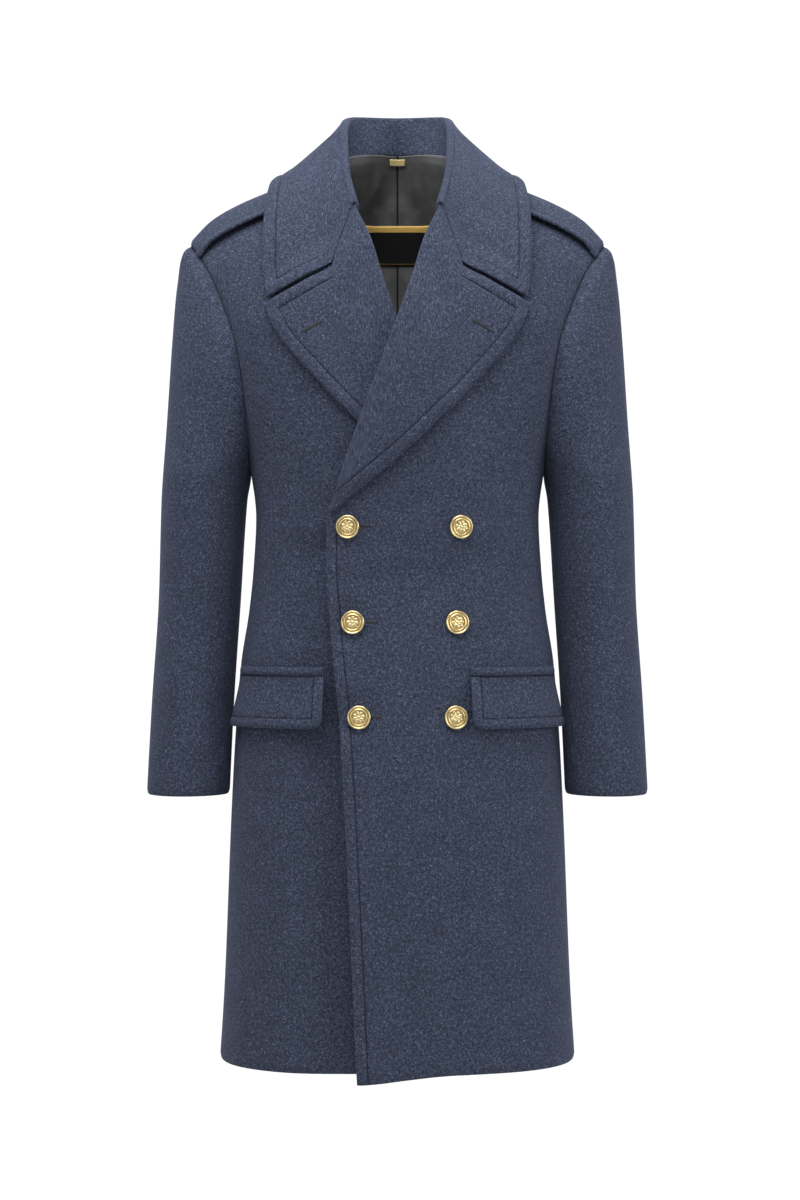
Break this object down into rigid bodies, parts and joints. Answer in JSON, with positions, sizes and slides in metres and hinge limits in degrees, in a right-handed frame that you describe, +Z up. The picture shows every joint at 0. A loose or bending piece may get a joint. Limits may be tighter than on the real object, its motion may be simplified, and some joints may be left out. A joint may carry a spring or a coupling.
{
  "type": "wool greatcoat",
  "caption": "Long double-breasted wool greatcoat with a broad collar, wide lapels, shoulder straps and flap pockets, filled out as if worn and hollow inside.",
  "frame": {"origin": "between the shoulders at the base of the neck, where the wearer carries the coat", "axes": "+Z up, -Y the way the front faces, +X the wearer's left"},
  "size_m": [0.5724, 0.3044, 1.099],
  "materials": {
    "wool": "matt heathered melton",
    "lining": "satin lining",
    "label": "woven satin",
    "tab": "woven",
    "brass": "satin gilt"
  },
  "bodies": {
    "root": {"back_left": "wool", "back_right": "wool", "front_left": "wool", "front_right": "wool", "sleeve_top_forearm_left": "wool", "sleeve_top_forearm_right": "wool", "sleeve_top_arm_left": "wool", "sleeve_top_arm_right": "wool", "sleeve_top_underarm_left": "wool", "sleeve_top_underarm_right": "wool", "sleeve_top_cap_left": "wool", "sleeve_top_cap_right": "wool", "sleeve_under_left": "wool", "sleeve_under_right": "wool", "lapel_left": "wool", "lapel_right": "wool", "shoulder_strap_left": "wool", "shoulder_strap_right": "wool", "pocket_flap_left": "wool", "pocket_flap_right": "wool", "pocket_welt_left": "wool", "pocket_welt_right": "wool", "collar": "wool", "lining_left": "lining", "lining_right": "lining", "neck_label": "label", "neck_tab": "tab", "button_outer_1": "brass", "button_outer_2": "brass", "button_outer_3": "brass", "button_inner_1": "brass", "button_inner_2": "brass", "button_inner_3": "brass"}
  },
  "joints": []
}
